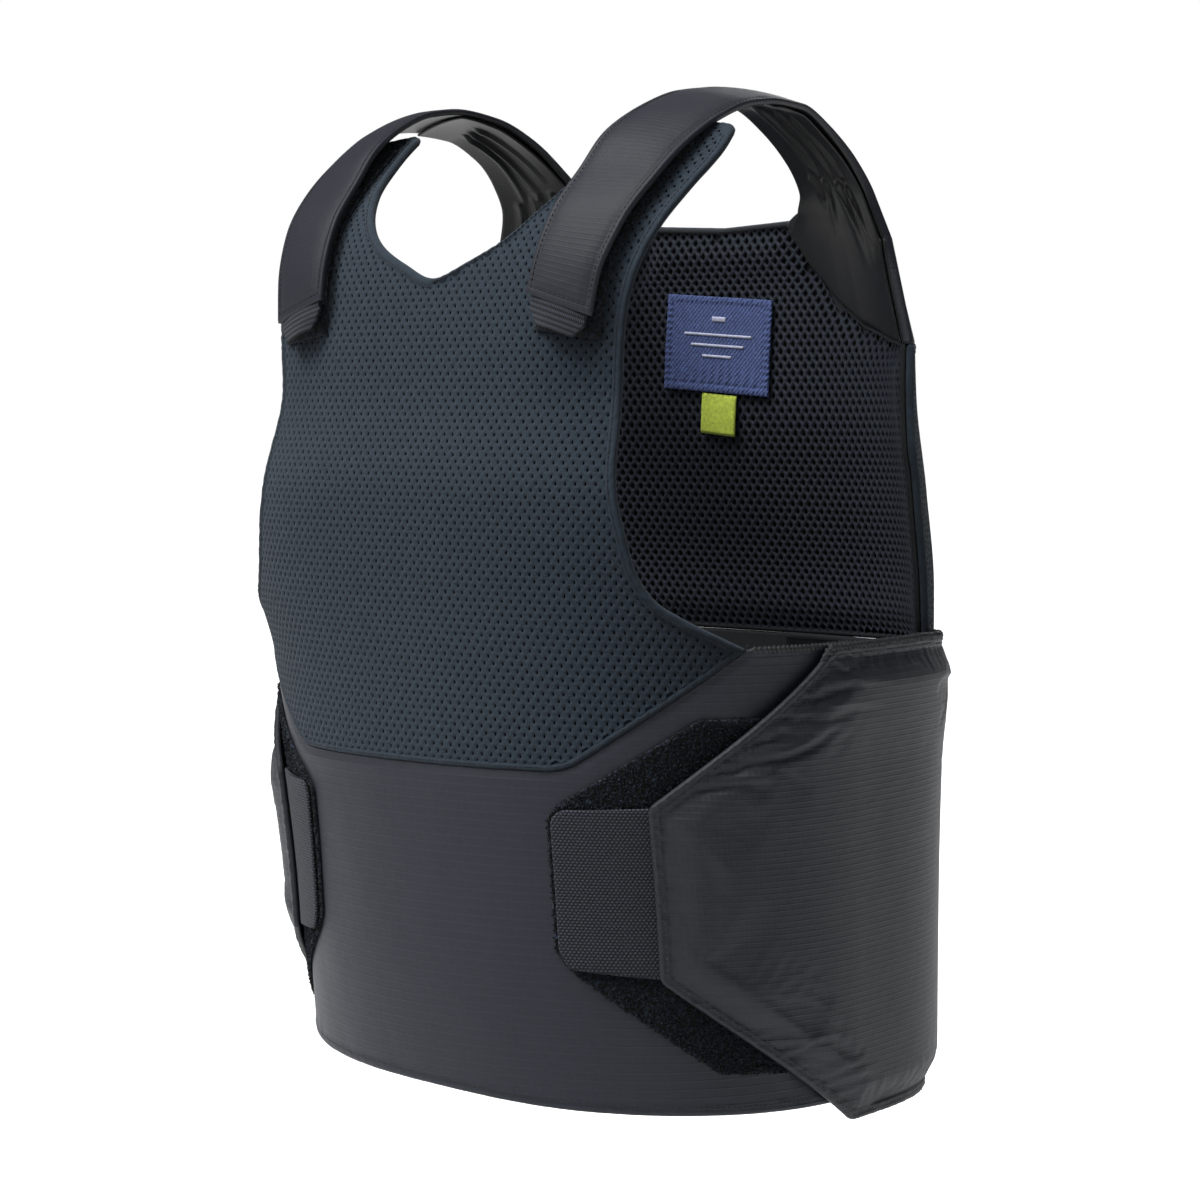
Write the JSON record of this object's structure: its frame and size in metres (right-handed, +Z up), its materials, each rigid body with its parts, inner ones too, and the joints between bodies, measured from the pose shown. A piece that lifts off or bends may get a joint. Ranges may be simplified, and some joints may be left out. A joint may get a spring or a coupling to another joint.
{
  "type": "concealable bulletproof vest",
  "caption": "Concealable ballistic vest in its worn shape: padded front and back panels, hook-and-loop shoulder straps and side wings over elastic.",
  "frame": {"origin": "underside of the straps on top of the shoulders, on the mid-plane of the body that wears it", "axes": "+X to the wearer's left, +Y towards the wearer's back, +Z up"},
  "size_m": [0.4344, 0.3416, 0.6103],
  "materials": {
    "mesh_cloth": "matte perforated knit",
    "ripstop": "matte ripstop weave",
    "spacer_mesh": "matte open spacer mesh",
    "loop_pile": "fuzzy loop pile",
    "webbing": "ribbed webbing",
    "dark_lining": "smooth lining",
    "label_cloth": "woven label",
    "tag_cloth": "woven tag"
  },
  "bodies": {
    "root": {"front_mesh_panel": "mesh_cloth", "front_lower_panel": "ripstop", "back_mesh_panel": "mesh_cloth", "back_lower_panel": "ripstop", "back_lining": "spacer_mesh", "shoulder_strap_left": "ripstop", "shoulder_lining_left": "dark_lining", "strap_hook_left": "loop_pile", "strap_tip_left": "webbing", "shoulder_loop_left": "loop_pile", "wing_left": "ripstop", "elastic_left": "webbing", "loop_patch_left": "loop_pile", "shoulder_strap_right": "ripstop", "shoulder_lining_right": "dark_lining", "strap_hook_right": "loop_pile", "strap_tip_right": "webbing", "shoulder_loop_right": "loop_pile", "wing_right": "ripstop", "elastic_right": "webbing", "loop_patch_right": "loop_pile", "waist_band_centre": "ripstop", "waist_band_left": "dark_lining", "waist_band_right": "dark_lining", "label": "label_cloth", "size_tag": "tag_cloth"}
  },
  "joints": []
}
